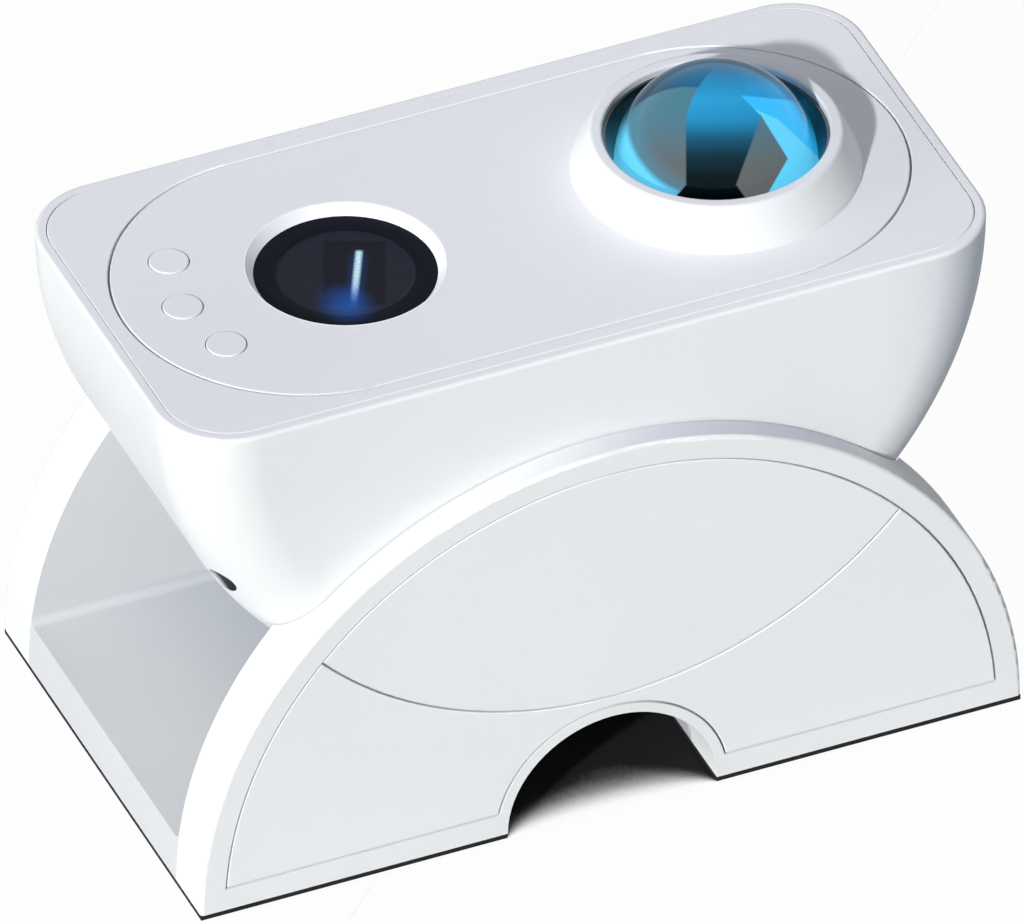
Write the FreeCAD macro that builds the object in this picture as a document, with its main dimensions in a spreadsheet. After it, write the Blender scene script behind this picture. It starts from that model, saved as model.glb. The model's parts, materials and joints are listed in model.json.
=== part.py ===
import FreeCAD, Part
import math
import os
import Sketcher
from FreeCAD import Placement, Rotation, Vector

# Twin-lens star and nebula projector: a half-drum body that rocks in a half-disc cradle.
# Millimetres, +Z up, +X to the right along the long side, +Y away from the front.
# The origin is on the table under the middle of the cradle.

doc = FreeCAD.newDocument("projector")
sheet = doc.addObject("Spreadsheet::Sheet", "Sizes")

# Every driving size, once: name and value in millimetres, degrees or teeth.
SIZES = [
    # cradle
    ("stand_length", 160.0),
    ("stand_depth", 90.8),
    ("cheek_thick", 11.5),
    ("floor_thick", 9.0),
    ("floor_skin", 2.2),
    ("floor_round", 1.6),
    ("sole_thick", 1.0),
    ("sole_inset", 0.05),
    ("cheek_round", 0.7),
    ("arch_radius", 20.4),
    ("arch_margin", 2.0),
    ("vault_wall", 1.7),
    ("vault_gap", 0.4),
    ("panel_margin", 4.6),
    ("panel_thick", 1.6),
    ("panel_groove", 0.4),
    ("panel_round", 0.15),
    ("cover_thick", 1.8),
    ("cover_gap", 0.2),
    ("cavity_wall", 3.0),
    ("cover_boss_radius", 3.4),
    ("cover_boss_inset", 9.0),
    ("pad_thick", 1.2),
    ("pad_width", 4.6),
    ("pad_inset", 1.1),
    ("pad_start", 16.0),
    ("pad_sweep", 28.0),
    # projector drum
    ("drum_inset", 5.3),
    ("drum_lift", 11.3),
    ("drum_round", 14.3),
    ("turn_gap", 0.3),
    ("shell_wall", 2.4),
    ("shell_edge_round", 0.7),
    ("rim_width", 2.0),
    ("rim_gap", 0.15),
    ("deck_gap", 0.4),
    ("deck_thick", 3.6),
    ("deck_ledge", 1.6),
    ("deck_round", 0.2),
    ("skin_thick", 2.0),
    ("stadium_end", 5.0),
    ("stadium_side", 4.9),
    ("stadium_ledge", 1.8),
    # laser window
    ("laser_inset", 48.0),
    ("bezel_radius", 18.2),
    ("bezel_lip", 0.25),
    ("window_radius", 16.5),
    ("window_drop", 2.0),
    ("window_thick", 1.6),
    ("window_seat", 0.8),
    ("seat_gap", 0.05),
    # dome
    ("dome_inset", 40.0),
    ("dome_radius", 18.2),
    ("dome_rise", 1.3),
    ("dome_wall", 2.0),
    ("dome_flange", 1.9),
    ("dome_flange_thick", 1.5),
    ("cone_low_radius", 26.2),
    ("cone_top_radius", 22.7),
    ("cone_hole_radius", 20.4),
    ("cone_height", 8.1),
    ("cone_round", 0.9),
    ("cone_spigot", 1.5),
    ("retainer_top_drop", 1.4),
    ("retainer_lip", 0.5),
    ("retainer_gap", 0.25),
    ("seat_ring_thick", 1.4),
    # buttons
    ("button_radius", 3.6),
    ("button_arc", 31.5),
    ("button_step", 24.6),
    ("button_gap", 0.2),
    ("button_proud", 0.2),
    ("button_round", 0.2),
    ("button_flange", 0.9),
    ("button_flange_thick", 0.8),
    ("button_travel", 0.5),
    ("button_stem", 1.4),
    ("button_stem_length", 3.4),
    ("switch_side", 6.0),
    ("switch_tall", 3.4),
    ("board_thick", 1.6),
    ("switch_board_long", 38.0),
    ("switch_board_wide", 11.0),
    ("switch_post_radius", 1.6),
    # chassis and optics
    ("chassis_drop", 16.3),
    ("chassis_thick", 3.0),
    ("chassis_gap", 1.0),
    ("post_radius", 2.8),
    ("post_inset", 11.0),
    ("shell_post_x", 48.0),
    ("shell_post_inset", 9.4),
    ("shell_post_radius", 3.6),
    ("shell_post_bore", 2.6),
    ("shell_post_cap", 5.0),
    ("gear_module", 0.8),
    ("gear_thick", 3.0),
    ("gear_play", 0.14),
    ("laser_teeth", 40.0),
    ("ripple_teeth", 48.0),
    ("pinion_teeth", 12.0),
    ("spigot_step", 4.0),
    ("spigot_wall", 1.6),
    ("run_gap", 0.05),
    ("float_gap", 0.15),
    ("clip_wide", 1.5),
    ("clip_thick", 0.8),
    ("disc_thick", 1.0),
    ("motor_radius", 6.0),
    ("motor_length", 12.0),
    ("motor_nose", 2.4),
    ("motor_ear", 9.0),
    ("motor_ear_thick", 1.2),
    ("shaft_radius", 0.75),
    ("shaft_sunk", 6.0),
    ("block_post_radius", 3.0),
    ("laser_post_y", 18.0),
    ("laser_post_drop", 10.0),
    ("laser_block_wide", 20.0),
    ("laser_block_tall", 8.0),
    ("barrel_radius", 6.0),
    ("barrel_length", 18.0),
    ("barrel_proud", 4.0),
    ("led_post_y", 23.0),
    ("led_post_drop", 12.0),
    ("sink_wide", 26.0),
    ("sink_base", 3.0),
    ("sink_tall", 9.0),
    ("sink_fin", 1.4),
    ("led_board_radius", 11.0),
    ("led_side", 3.6),
    ("led_tall", 0.9),
    ("led_spread", 2.9),
    ("reflector_low", 7.4),
    ("reflector_top", 12.6),
    ("reflector_wall", 1.2),
    ("reflector_tall", 7.6),
    ("lens_thick", 3.0),
    ("lens_rim", 1.0),
    # electronics and power
    ("board_long", 62.0),
    ("board_wide", 46.0),
    ("board_height", 45.0),
    ("board_post_radius", 2.6),
    ("board_post_inset", 4.0),
    ("chip_side", 9.0),
    ("chip_tall", 1.4),
    ("capacitor_radius", 3.2),
    ("capacitor_tall", 8.0),
    ("plug_header_long", 10.0),
    ("plug_header_wide", 5.0),
    ("plug_header_tall", 5.6),
    ("jack_angle", 61.5),
    ("jack_inset", 9.1),
    ("jack_hole", 2.8),
    ("jack_boss", 4.8),
    ("jack_boss_reach", 6.6),
    ("jack_side", 7.4),
    ("jack_length", 11.0),
    ("jack_bore_depth", 8.0),
    ("jack_well", 3.0),
    ("jack_pin", 0.8),
    # screws
    ("screw_shaft", 1.2),
    ("screw_head", 2.3),
    ("screw_head_tall", 1.3),
    ("screw_length", 8.0),
    ("small_screw_shaft", 0.9),
    ("small_screw_head", 1.7),
    ("small_screw_length", 5.0),
    ("thread_gap", 0.05),
    # one overrun for every cut
    ("over", 2.0),
]


class Size:
    # A number that remembers how it is worked out from the sheet, so one sum
    # both places a shape and stays bound to the cells.
    def __init__(self, text, number):
        self.text = text
        self.number = number

    def __float__(self):
        return self.number

    def __add__(self, other):
        other = asSize(other)
        return Size("(%s + %s)" % (self.text, other.text), self.number + other.number)

    def __sub__(self, other):
        other = asSize(other)
        return Size("(%s - %s)" % (self.text, other.text), self.number - other.number)

    def __mul__(self, other):
        other = asSize(other)
        return Size("(%s * %s)" % (self.text, other.text), self.number * other.number)

    def __truediv__(self, other):
        other = asSize(other)
        return Size("(%s / %s)" % (self.text, other.text), self.number / other.number)

    def __neg__(self):
        return Size("(0 - %s)" % self.text, -self.number)

    def __radd__(self, other):
        return asSize(other) + self

    def __rsub__(self, other):
        return asSize(other) - self

    def __rmul__(self, other):
        return asSize(other) * self


def asSize(value):
    if isinstance(value, Size):
        return value
    return Size(repr(value), float(value))


def root(size):
    return Size("sqrt(%s)" % size.text, math.sqrt(size.number))


def sine(size):
    return Size("sin(%s)" % size.text, math.sin(math.radians(size.number)))


def cosine(size):
    return Size("cos(%s)" % size.text, math.cos(math.radians(size.number)))


for row, (alias, value) in enumerate(SIZES, start=1):
    sheet.set("A%d" % row, alias)
    sheet.set("B%d" % row, repr(value))
    sheet.setAlias("B%d" % row, alias)
doc.recompute()


class Sizes:
    # Reads each cell of the sheet as a Size.
    def __getattr__(self, alias):
        return Size("Sizes." + alias, float(sheet.get(alias)))


s = Sizes()


# Building blocks
nodes = []
UPRIGHT = Rotation()
ALONG_Y = Rotation(Vector(1, 0, 0), -90)
HEAD_DOWN = Rotation(Vector(1, 0, 0), 180)
HALF_ROUND = Rotation(Vector(0, 0, 1), 180)


def bind(thing, prop, size):
    thing.setExpression(prop, asSize(size).text)


def place(thing, x=0, y=0, z=0, turn=UPRIGHT):
    thing.Placement = Placement(Vector(float(x), float(y), float(z)), turn)
    bind(thing, "Placement.Base.x", x)
    bind(thing, "Placement.Base.y", y)
    bind(thing, "Placement.Base.z", z)
    return thing


def block(name, long, wide, tall, x, y, z):
    # a box given by its sides and lowest corner
    box = doc.addObject("Part::Box", name)
    bind(box, "Length", long)
    bind(box, "Width", wide)
    bind(box, "Height", tall)
    return place(box, x, y, z)


def slab(name, long, wide, tall, x, y, z):
    # a box centred on x and y that stands on z
    return block(name, long, wide, tall, x - asSize(long) / 2, y - asSize(wide) / 2, z)


def rod(name, radius, length, x, y, z, turn=UPRIGHT):
    pin = doc.addObject("Part::Cylinder", name)
    bind(pin, "Radius", radius)
    bind(pin, "Height", length)
    return place(pin, x, y, z, turn)


def ball(name, radius, x, y, z):
    sphere = doc.addObject("Part::Sphere", name)
    bind(sphere, "Radius", radius)
    return place(sphere, x, y, z)


def join(name, parts):
    if len(parts) == 1:
        return parts[0]
    fused = doc.addObject("Part::MultiFuse", name)
    fused.Shapes = parts
    fused.Refine = True
    return fused


def cut(name, base, tools):
    piece = doc.addObject("Part::Cut", name)
    piece.Base = base
    piece.Tool = join(name + "_tools", tools)
    piece.Refine = True
    return piece


def overlap(name, parts):
    piece = doc.addObject("Part::MultiCommon", name)
    piece.Shapes = parts
    piece.Refine = True
    return piece


def rounded(name, base, radius, wanted):
    # rounds the edges of base for which wanted(edge) is true
    doc.recompute()
    piece = doc.addObject("Part::Fillet", name)
    piece.Base = base
    amount = float(radius)
    edges = base.Shape.Edges
    piece.Edges = [(i + 1, amount, amount) for i, edge in enumerate(edges) if wanted(edge)]
    return piece


def group(name, parts):
    # separate solids that share one node
    pieces = doc.addObject("Part::Compound", name)
    pieces.Links = parts
    return pieces


def keep(thing, label):
    thing.Label = label
    nodes.append(thing)
    return thing


def turned(name, points, x=0, y=0, z=0, turn=UPRIGHT):
    # a piece turned about its own Z axis from a closed outline of (radius, height)
    body = doc.addObject("PartDesign::Body", name)
    sketch = body.newObject("Sketcher::SketchObject", name + "_outline")
    plane = [f for f in body.Origin.OriginFeatures if f.Role == "XZ_Plane"][0]
    sketch.AttachmentSupport = [(plane, "")]
    sketch.MapMode = "FlatFace"
    spots = [Vector(float(r), float(h), 0) for r, h in points]
    for i, spot in enumerate(spots):
        sketch.addGeometry(Part.LineSegment(spot, spots[(i + 1) % len(spots)]), False)
    for i in range(len(spots)):
        sketch.addConstraint(Sketcher.Constraint("Coincident", i, 2, (i + 1) % len(spots), 1))
    for i, (r, h) in enumerate(points):
        for kind, size, axis in (("DistanceX", asSize(r), -2), ("DistanceY", asSize(h), -1)):
            if size.number == 0:
                sketch.addConstraint(Sketcher.Constraint("PointOnObject", i, 1, axis))
            elif size.number > 0:
                where = sketch.addConstraint(Sketcher.Constraint(kind, -1, 1, i, 1, size.number))
                sketch.setExpression("Constraints[%d]" % where, size.text)
            else:
                back = -size
                where = sketch.addConstraint(Sketcher.Constraint(kind, i, 1, -1, 1, back.number))
                sketch.setExpression("Constraints[%d]" % where, back.text)
    spin = body.newObject("PartDesign::Revolution", name + "_turned")
    spin.Profile = sketch
    spin.ReferenceAxis = (sketch, ["V_Axis"])
    spin.Angle = 360
    body.Tip = spin
    place(body, x, y, z, turn)
    return body


def softened(body, radius, wanted):
    # rounds chosen edges of a turned piece as its last feature
    doc.recompute()
    tip = body.Tip
    names = ["Edge%d" % (i + 1) for i, e in enumerate(tip.Shape.Edges) if wanted(e)]
    soft = body.newObject("PartDesign::Fillet", body.Name + "_soft")
    soft.Base = (tip, names)
    bind(soft, "Radius", radius)
    body.Tip = soft
    return body


def ring(name, inner, outer, tall, x, y, z):
    return turned(name, [(inner, 0), (outer, 0), (outer, tall), (inner, tall)], x, y, z)


def close(a, b):
    return abs(a - b) < 1e-4


def circleAt(edge, radius, height):
    # a full circle of this radius at this height on its own axis
    if not isinstance(edge.Curve, Part.Circle):
        return False
    return close(edge.Curve.Radius, float(radius)) and close(edge.Curve.Center.z, float(height))


# Places that many pieces share
half_length = s.stand_length / 2
half_depth = s.stand_depth / 2
inner_face = half_depth - s.cheek_thick
foot = s.sole_thick
floor_top = foot + s.floor_thick
# the drum is as long as its stand, set in from its sides and lifted clear of its floor
drum_radius = half_length
drum_half = half_depth - s.drum_inset
tilt_height = floor_top + s.drum_lift + drum_radius
laser_x = drum_radius - s.laser_inset
dome_x = drum_radius - s.dome_inset
deck_top = tilt_height
skin_under = deck_top - s.skin_thick
deck_under = deck_top - s.deck_thick
chassis_top = deck_top - s.chassis_drop
chassis_under = chassis_top - s.chassis_thick


def drum(name, inset):
    # the drum that rocks about the tilt axis, drawn in by inset on every side
    radius = drum_radius - inset
    depth = 2 * (drum_half - inset)
    start = 0 - drum_half + inset
    raw = rod(name + "_raw", radius, depth, 0, start, tilt_height, ALONG_Y)
    return rounded(name, raw, s.drum_round - inset, lambda e: isinstance(e.Curve, Part.Circle))


def across(name, tall, z):
    # a wide slab of this height, used to cut a layer out of the drum
    wide = s.stand_length + 4 * s.over
    return slab(name, wide, wide, tall, 0, 0, z)


def screw(name, shaft, head, head_tall, length, x, y, z, turn=UPRIGHT):
    # head stands on z and the shaft goes down from it, or up when turned over
    points = [(0, -length), (shaft, -length), (shaft, 0), (head, 0), (head, head_tall), (0, head_tall)]
    return turned(name, points, x, y, z, turn)


def bigScrew(name, x, y, z, turn=UPRIGHT):
    return screw(name, s.screw_shaft, s.screw_head, s.screw_head_tall, s.screw_length, x, y, z, turn)


small_head_tall = s.screw_head_tall * s.small_screw_head / s.screw_head


def smallScrew(name, x, y, z, turn=UPRIGHT):
    return screw(name, s.small_screw_shaft, s.small_screw_head, small_head_tall,
                 s.small_screw_length, x, y, z, turn)


# Cradle frame: two half-disc cheeks on a floor, with a cable tunnel under the drum
def archTool(name, radius, y0, length):
    return rod(name, radius, length, 0, y0, foot, ALONG_Y)


vault_top = tilt_height - drum_radius - s.vault_gap
vault_rise = vault_top - s.vault_wall - foot
vault_radius = (s.arch_radius * s.arch_radius + vault_rise * vault_rise) / (2 * vault_rise)
vault_middle = foot + vault_rise - vault_radius
cavity_start = s.arch_radius + s.vault_wall + s.cavity_wall
cavity_long = half_length - s.cavity_wall - cavity_start
cavity_wide = s.stand_depth - 2 * s.cavity_wall
cavity_tall = s.floor_thick - s.floor_skin
boss_x = [cavity_start + s.cover_boss_inset, half_length - s.cavity_wall - s.cover_boss_inset]
boss_y = half_depth - s.cavity_wall - s.cover_boss_inset


def coverSpots():
    return [(side * x, way * boss_y) for side in (-1, 1) for x in boss_x for way in (-1, 1)]


def panelField(name, shrink, y0, depth):
    # what the cheek's outer margin leaves: half disc above its foot line, less the arch
    disc = rod(name + "_disc", half_length - s.panel_margin - shrink, depth, 0, y0, foot, ALONG_Y)
    low = foot + s.panel_margin + shrink
    above = block(name + "_above", s.stand_length, depth, half_length, 0 - half_length, y0, low)
    field = overlap(name + "_field", [disc, above])
    return cut(name, field, [archTool(name + "_arch", s.arch_radius + s.arch_margin + shrink, y0, depth)])


def padRing(name, side, start, sweep):
    # a strip let into the drum pocket of one cheek, between two angles from straight down
    outer = drum(name + "_outer", 0 - s.turn_gap - s.pad_thick)
    inner = drum(name + "_inner", 0 - s.turn_gap)
    skin = cut(name + "_skin", outer, [inner])
    reach = drum_radius + s.pad_thick + s.over
    low = inner_face + s.pad_inset if side > 0 else 0 - inner_face - s.pad_inset - s.pad_width
    wedge = doc.addObject("Part::Cylinder", name + "_wedge")
    bind(wedge, "Radius", reach)
    bind(wedge, "Height", s.pad_width)
    bind(wedge, "Angle", sweep)
    # the cylinder's first face points along its own X, which is turned to the start angle
    turn = ALONG_Y.multiply(Rotation(Vector(0, 0, 1), 90 + float(start)))
    place(wedge, 0, low, tilt_height, turn)
    return overlap(name, [skin, wedge])


def cradleFrame():
    disc = rod("cheek_disc", half_length, s.stand_depth, 0, 0 - half_depth, foot, ALONG_Y)
    soft = rounded("cheek_soft", disc, s.cheek_round, lambda e: isinstance(e.Curve, Part.Circle))
    above = block("cheek_above", s.stand_length, s.stand_depth, half_length,
                  0 - half_length, 0 - half_depth, foot)
    half = overlap("cheek_half", [soft, above])
    room = slab("channel_raw", s.stand_length + 2 * s.over, 2 * inner_face, half_length, 0, 0, floor_top)
    channel = rounded("channel", room, s.floor_round,
                      lambda e: close(e.CenterOfMass.z, float(floor_top)) and e.Length > float(s.stand_length))
    pocket = drum("drum_pocket", 0 - s.turn_gap)
    trough = cut("trough", half, [channel, pocket])
    roof = rod("vault_roof", vault_radius + s.vault_wall, 2 * inner_face,
               0, 0 - inner_face, vault_middle, ALONG_Y)
    roof_box = slab("vault_box", s.stand_length, 2 * inner_face, vault_top - foot, 0, 0, foot)
    vault = overlap("vault", [roof, roof_box])
    bored = join("cradle_solid", [trough, vault])
    tools = [
        archTool("arch_front", s.arch_radius, 0 - half_depth - s.over, s.cheek_thick + s.over),
        archTool("arch_rear", s.arch_radius, inner_face, s.cheek_thick + s.over),
        rod("vault_bore", vault_radius, 2 * inner_face, 0, 0 - inner_face, vault_middle, ALONG_Y),
        panelField("front_recess", 0, 0 - half_depth, s.panel_thick),
        panelField("rear_recess", 0, half_depth - s.panel_thick, s.panel_thick),
    ]
    for side, label in ((-1, "left"), (1, "right")):
        middle = side * (cavity_start + cavity_long / 2)
        cavity = slab("cavity_" + label, cavity_long, cavity_wide, cavity_tall, middle, 0, foot)
        bosses = [rod("boss_%s_%d" % (label, i), s.cover_boss_radius, cavity_tall - s.cover_thick,
                      x, y, foot + s.cover_thick)
                  for i, (x, y) in enumerate(coverSpots()) if (x.number < 0) == (side < 0)]
        tools.append(cut("cavity_room_" + label, cavity, bosses))
    pilot = s.small_screw_shaft + s.thread_gap
    for i, (x, y) in enumerate(coverSpots()):
        tools.append(rod("cover_pilot_%d" % i, pilot, small_head_tall + s.small_screw_length + s.thread_gap,
                         x, y, foot))
    for i, (side, way) in enumerate(((-1, -1), (-1, 1), (1, -1), (1, 1))):
        begin = s.pad_start if side > 0 else 0 - s.pad_start - s.pad_sweep
        tools.append(padRing("pad_recess_%d" % i, way, begin, s.pad_sweep))
    return cut("cradle_bored", bored, tools)


keep(cradleFrame(), "cradle_frame")
for i, (side, way, label) in enumerate(((-1, -1, "front_left"), (-1, 1, "rear_left"),
                                        (1, -1, "front_right"), (1, 1, "rear_right"))):
    begin = s.pad_start if side > 0 else 0 - s.pad_start - s.pad_sweep
    keep(padRing("pad_%d" % i, way, begin, s.pad_sweep), label + "_grip_pad")


# Cheek panels: a lens-shaped upper one and a lower one over the arch, front and rear
def cheekPanels():
    # the rear pair is built, and the front pair is the same two turned half round
    y0 = half_depth - s.panel_thick
    lens = drum_radius - s.panel_margin
    seam = s.panel_groove / 2
    inside = rod("panel_lens", lens - seam, s.panel_thick, 0, y0, tilt_height, ALONG_Y)
    outside = rod("panel_hollow", lens + seam, s.panel_thick, 0, y0, tilt_height, ALONG_Y)
    shrink = s.panel_groove
    upper = overlap("panel_upper", [panelField("panel_upper_field", shrink, y0, s.panel_thick), inside])
    lower = cut("panel_lower", panelField("panel_lower_field", shrink, y0, s.panel_thick), [outside])
    onFace = lambda e: close(e.BoundBox.YMin, float(half_depth)) and close(e.BoundBox.YMax, float(half_depth))
    for label, plain in (("upper", upper), ("lower", lower)):
        soft = rounded(label + "_soft", plain, s.panel_round, onFace)
        keep(soft, "rear_%s_panel" % label)
        keep(place(group(label + "_front", [soft]), turn=HALF_ROUND), "front_%s_panel" % label)


cheekPanels()

# Floor covers, their screws and the rubber soles
screws = [smallScrew("cover_screw_%d" % i, x, y, foot + small_head_tall, HEAD_DOWN)
          for i, (x, y) in enumerate(coverSpots())]
for side, label in ((-1, "left"), (1, "right")):
    middle = side * (cavity_start + cavity_long / 2)
    plate = slab("cover_plate_" + label, cavity_long - 2 * s.cover_gap, cavity_wide - 2 * s.cover_gap,
                 s.cover_thick, middle, 0, foot)
    holes = []
    for i, (x, y) in enumerate(coverSpots()):
        if (x.number < 0) == (side < 0):
            wide = s.small_screw_head + s.cover_gap
            holes.append(rod("cover_sink_%s_%d" % (label, i), wide, small_head_tall, x, y, foot))
            holes.append(rod("cover_hole_%s_%d" % (label, i), s.small_screw_shaft + s.cover_gap,
                             s.cover_thick, x, y, foot))
    keep(cut("cover_" + label, plate, holes), label + "_floor_cover")
    long = half_length - s.arch_radius - 2 * s.sole_inset
    middle = side * (s.arch_radius + s.sole_inset + long / 2)
    keep(slab("sole_" + label, long, s.stand_depth - 2 * s.sole_inset, s.sole_thick, middle, 0, 0),
         label + "_rubber_sole")
keep(group("cover_screws", screws), "floor_cover_screws")


# Lower shell: the half drum with a stepped mouth for the deck, posts and the power socket boss
def layer(name, inset, low, tall):
    return overlap(name, [drum(name + "_drum", inset), across(name + "_slab", tall, low)])


jack_turn = Rotation(Vector(0, 1, 0), 180 + float(s.jack_angle))


def onJack(depth):
    # a point on the socket's axis, this far inside the drum's outer radius
    reach = drum_radius - depth
    return 0 - reach * sine(s.jack_angle), s.jack_inset - drum_half, tilt_height - reach * cosine(s.jack_angle)


def jackRod(name, radius, length, depth):
    # along the socket's axis, from this depth outwards
    x, y, z = onJack(depth)
    return rod(name, radius, length, x, y, z, jack_turn)


shell_posts = [(a * s.shell_post_x, b * (drum_half - s.shell_post_inset)) for a in (-1, 1) for b in (-1, 1)]
board_posts = [(a * (s.board_long / 2 - s.board_post_inset), b * (s.board_wide / 2 - s.board_post_inset))
               for a in (-1, 1) for b in (-1, 1)]


def lowerShell():
    outer = layer("shell_outer", 0, deck_top - drum_radius - s.over, drum_radius + s.over)
    edge = rounded("shell_soft", outer, s.shell_edge_round,
                   lambda e: close(e.BoundBox.ZMin, float(deck_top)) and close(e.BoundBox.ZMax, float(deck_top)))
    ledge_low = deck_under - s.deck_ledge
    mouth = layer("shell_mouth", s.rim_width, deck_under, s.deck_thick + s.over)
    neck = layer("shell_neck", s.shell_wall + s.deck_ledge, ledge_low - s.over, s.deck_ledge + 2 * s.over)
    room = layer("shell_room", s.shell_wall, tilt_height - drum_radius,
                 ledge_low - tilt_height + drum_radius)
    hull = cut("shell_hull", edge, [mouth, neck, room])
    posts = []
    bores = []
    for i, (x, y) in enumerate(shell_posts):
        low = tilt_height - drum_radius
        posts.append(rod("shell_post_%d" % i, s.shell_post_radius, chassis_under - low, x, y, low))
        bores.append(rod("shell_bore_%d" % i, s.shell_post_bore,
                         chassis_under - s.shell_post_cap - low + s.over, x, y, low - s.over))
        bores.append(rod("shell_eye_%d" % i, s.screw_shaft + s.thread_gap,
                         s.shell_post_cap + 2 * s.over, x, y, chassis_under - s.shell_post_cap - s.over))
    for i, (x, y) in enumerate(board_posts):
        low = tilt_height - drum_radius
        posts.append(rod("board_post_%d" % i, s.board_post_radius, s.board_height - low, x, y, low))
        bores.append(rod("board_pilot_%d" % i, s.small_screw_shaft + s.thread_gap,
                         s.small_screw_length + s.over, x, y, s.board_height - s.small_screw_length))
    posts.append(jackRod("jack_boss", s.jack_boss, s.jack_boss_reach, s.jack_boss_reach))
    bores.append(jackRod("jack_hole", s.jack_hole, s.jack_boss_reach + 2 * s.over,
                         s.jack_boss_reach + s.over))
    limit = layer("shell_limit", s.shell_wall / 2, deck_top - drum_radius - s.over, drum_radius)
    inner = overlap("shell_posts", [join("shell_posts_all", posts), limit])
    return cut("shell_bored", join("shell_solid", [hull, inner]), bores)


keep(lowerShell(), "lower_shell")


# Top deck and the stadium panel let into it
def stadium(name, inset, tall, z):
    radius = drum_half - s.stadium_side - inset
    straight = 2 * (drum_radius - s.stadium_end - drum_half + s.stadium_side)
    ends = [rod("%s_end_%d" % (name, i), radius, tall, side * straight / 2, 0, z)
            for i, side in enumerate((-1, 1))]
    return join(name, ends + [slab(name + "_middle", straight, 2 * radius, tall, 0, 0, z)])


deck_post_x = drum_radius - s.post_inset - s.rim_width
deck_post_y = drum_half - s.post_inset + s.rim_width / 2
deck_posts = [(a * deck_post_x, b * deck_post_y) for a in (-1, 1) for b in (-1, 1)]


def flatTop(edge):
    return close(edge.BoundBox.ZMin, float(deck_top)) and close(edge.BoundBox.ZMax, float(deck_top))


def topDeck():
    plate = layer("deck_plate", s.rim_width + s.rim_gap, deck_under, s.deck_thick)
    opening = stadium("deck_opening", 0, s.skin_thick + s.over, skin_under)
    throat = stadium("deck_throat", s.stadium_ledge, s.deck_thick + s.over, deck_under - s.over)
    frame = rounded("deck_soft", cut("deck_frame", plate, [opening, throat]), s.deck_round, flatTop)
    posts = [rod("deck_post_%d" % i, s.post_radius, deck_under - chassis_top + s.deck_ledge / 2,
                 x, y, chassis_top) for i, (x, y) in enumerate(deck_posts)]
    pilots = [rod("deck_pilot_%d" % i, s.screw_shaft + s.thread_gap, s.screw_length,
                  x, y, chassis_top) for i, (x, y) in enumerate(deck_posts)]
    return cut("deck_bored", join("deck_solid", [frame] + posts), pilots)


keep(topDeck(), "top_deck")

# buttons stand on an arc about the laser window
button_spots = []
for way in (1, 0, -1):
    turn = s.button_step * way
    button_spots.append((0 - laser_x - s.button_arc * cosine(turn), s.button_arc * sine(turn)))
switch_board_x = 0 - laser_x - s.button_arc * (1 + cosine(s.button_step)) / 2
switch_top = deck_top - s.skin_thick - s.button_flange_thick - s.button_travel
switch_board_top = switch_top - s.switch_tall - s.button_travel
switch_posts = [(switch_board_x, way * s.button_arc * sine(s.button_step / 2)) for way in (1, -1)]


def stadiumPanel():
    plate = rounded("panel_soft", stadium("panel_plate", s.deck_gap, s.skin_thick, skin_under),
                    s.deck_round, flatTop)
    holes = [
        rod("bezel_hole", s.bezel_radius + s.seat_gap, s.skin_thick + 2 * s.over,
            0 - laser_x, 0, skin_under - s.over),
        rod("dome_hole", s.cone_hole_radius + s.cone_spigot + s.seat_gap, s.skin_thick + 2 * s.over,
            dome_x, 0, skin_under - s.over),
    ]
    for i, (x, y) in enumerate(button_spots):
        holes.append(rod("button_hole_%d" % i, s.button_radius + s.button_gap,
                         s.skin_thick + 2 * s.over, x, y, skin_under - s.over))
    posts = [rod("switch_post_%d" % i, s.switch_post_radius, skin_under - switch_board_top + s.deck_ledge / 2,
                 x, y, switch_board_top) for i, (x, y) in enumerate(switch_posts)]
    pilots = [rod("switch_pilot_%d" % i, s.small_screw_shaft + s.thread_gap, s.small_screw_length,
                  x, y, switch_board_top) for i, (x, y) in enumerate(switch_posts)]
    return cut("panel_bored", join("panel_solid", [cut("panel_open", plate, holes)] + posts), pilots)


keep(stadiumPanel(), "stadium_panel")

# Laser window: countersunk bezel with the dark window seated under its throat
bezel_low = s.window_drop + s.window_thick
bezel = turned("laser_bezel", [
    (s.window_radius, -s.window_drop),
    (s.bezel_radius - s.bezel_lip, 0),
    (s.bezel_radius, 0),
    (s.bezel_radius, -bezel_low),
    (s.window_radius + s.window_seat, -bezel_low),
    (s.window_radius + s.window_seat, -s.window_drop),
], 0 - laser_x, 0, deck_top)
keep(bezel, "laser_bezel")
window = turned("laser_window", [
    (0, 0),
    (s.window_radius + s.window_seat - s.seat_gap, 0),
    (s.window_radius + s.window_seat - s.seat_gap, s.window_thick),
    (0, s.window_thick),
], 0 - laser_x, 0, deck_top - bezel_low)
keep(window, "laser_window")

# Dome: raised white cone, dark retaining ring, blue lens and the ring it sits on
flange_top = 0 - s.retainer_lip
flange_low = flange_top - s.dome_flange_thick
seat_low = flange_low - s.seat_ring_thick
cone = turned("dome_cone", [
    (s.cone_hole_radius, seat_low),
    (s.cone_hole_radius + s.cone_spigot, seat_low),
    (s.cone_hole_radius + s.cone_spigot, 0),
    (s.cone_low_radius, 0),
    (s.cone_low_radius - s.cone_round / 4, s.cone_round),
    (s.cone_top_radius, s.cone_height),
    (s.cone_hole_radius, s.cone_height),
], dome_x, 0, deck_top)
softened(cone, s.cone_round, lambda e: circleAt(e, s.cone_top_radius, s.cone_height))
softened(cone, s.cone_round / 2, lambda e: circleAt(e, s.cone_hole_radius, s.cone_height))
keep(cone, "dome_bezel")

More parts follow.
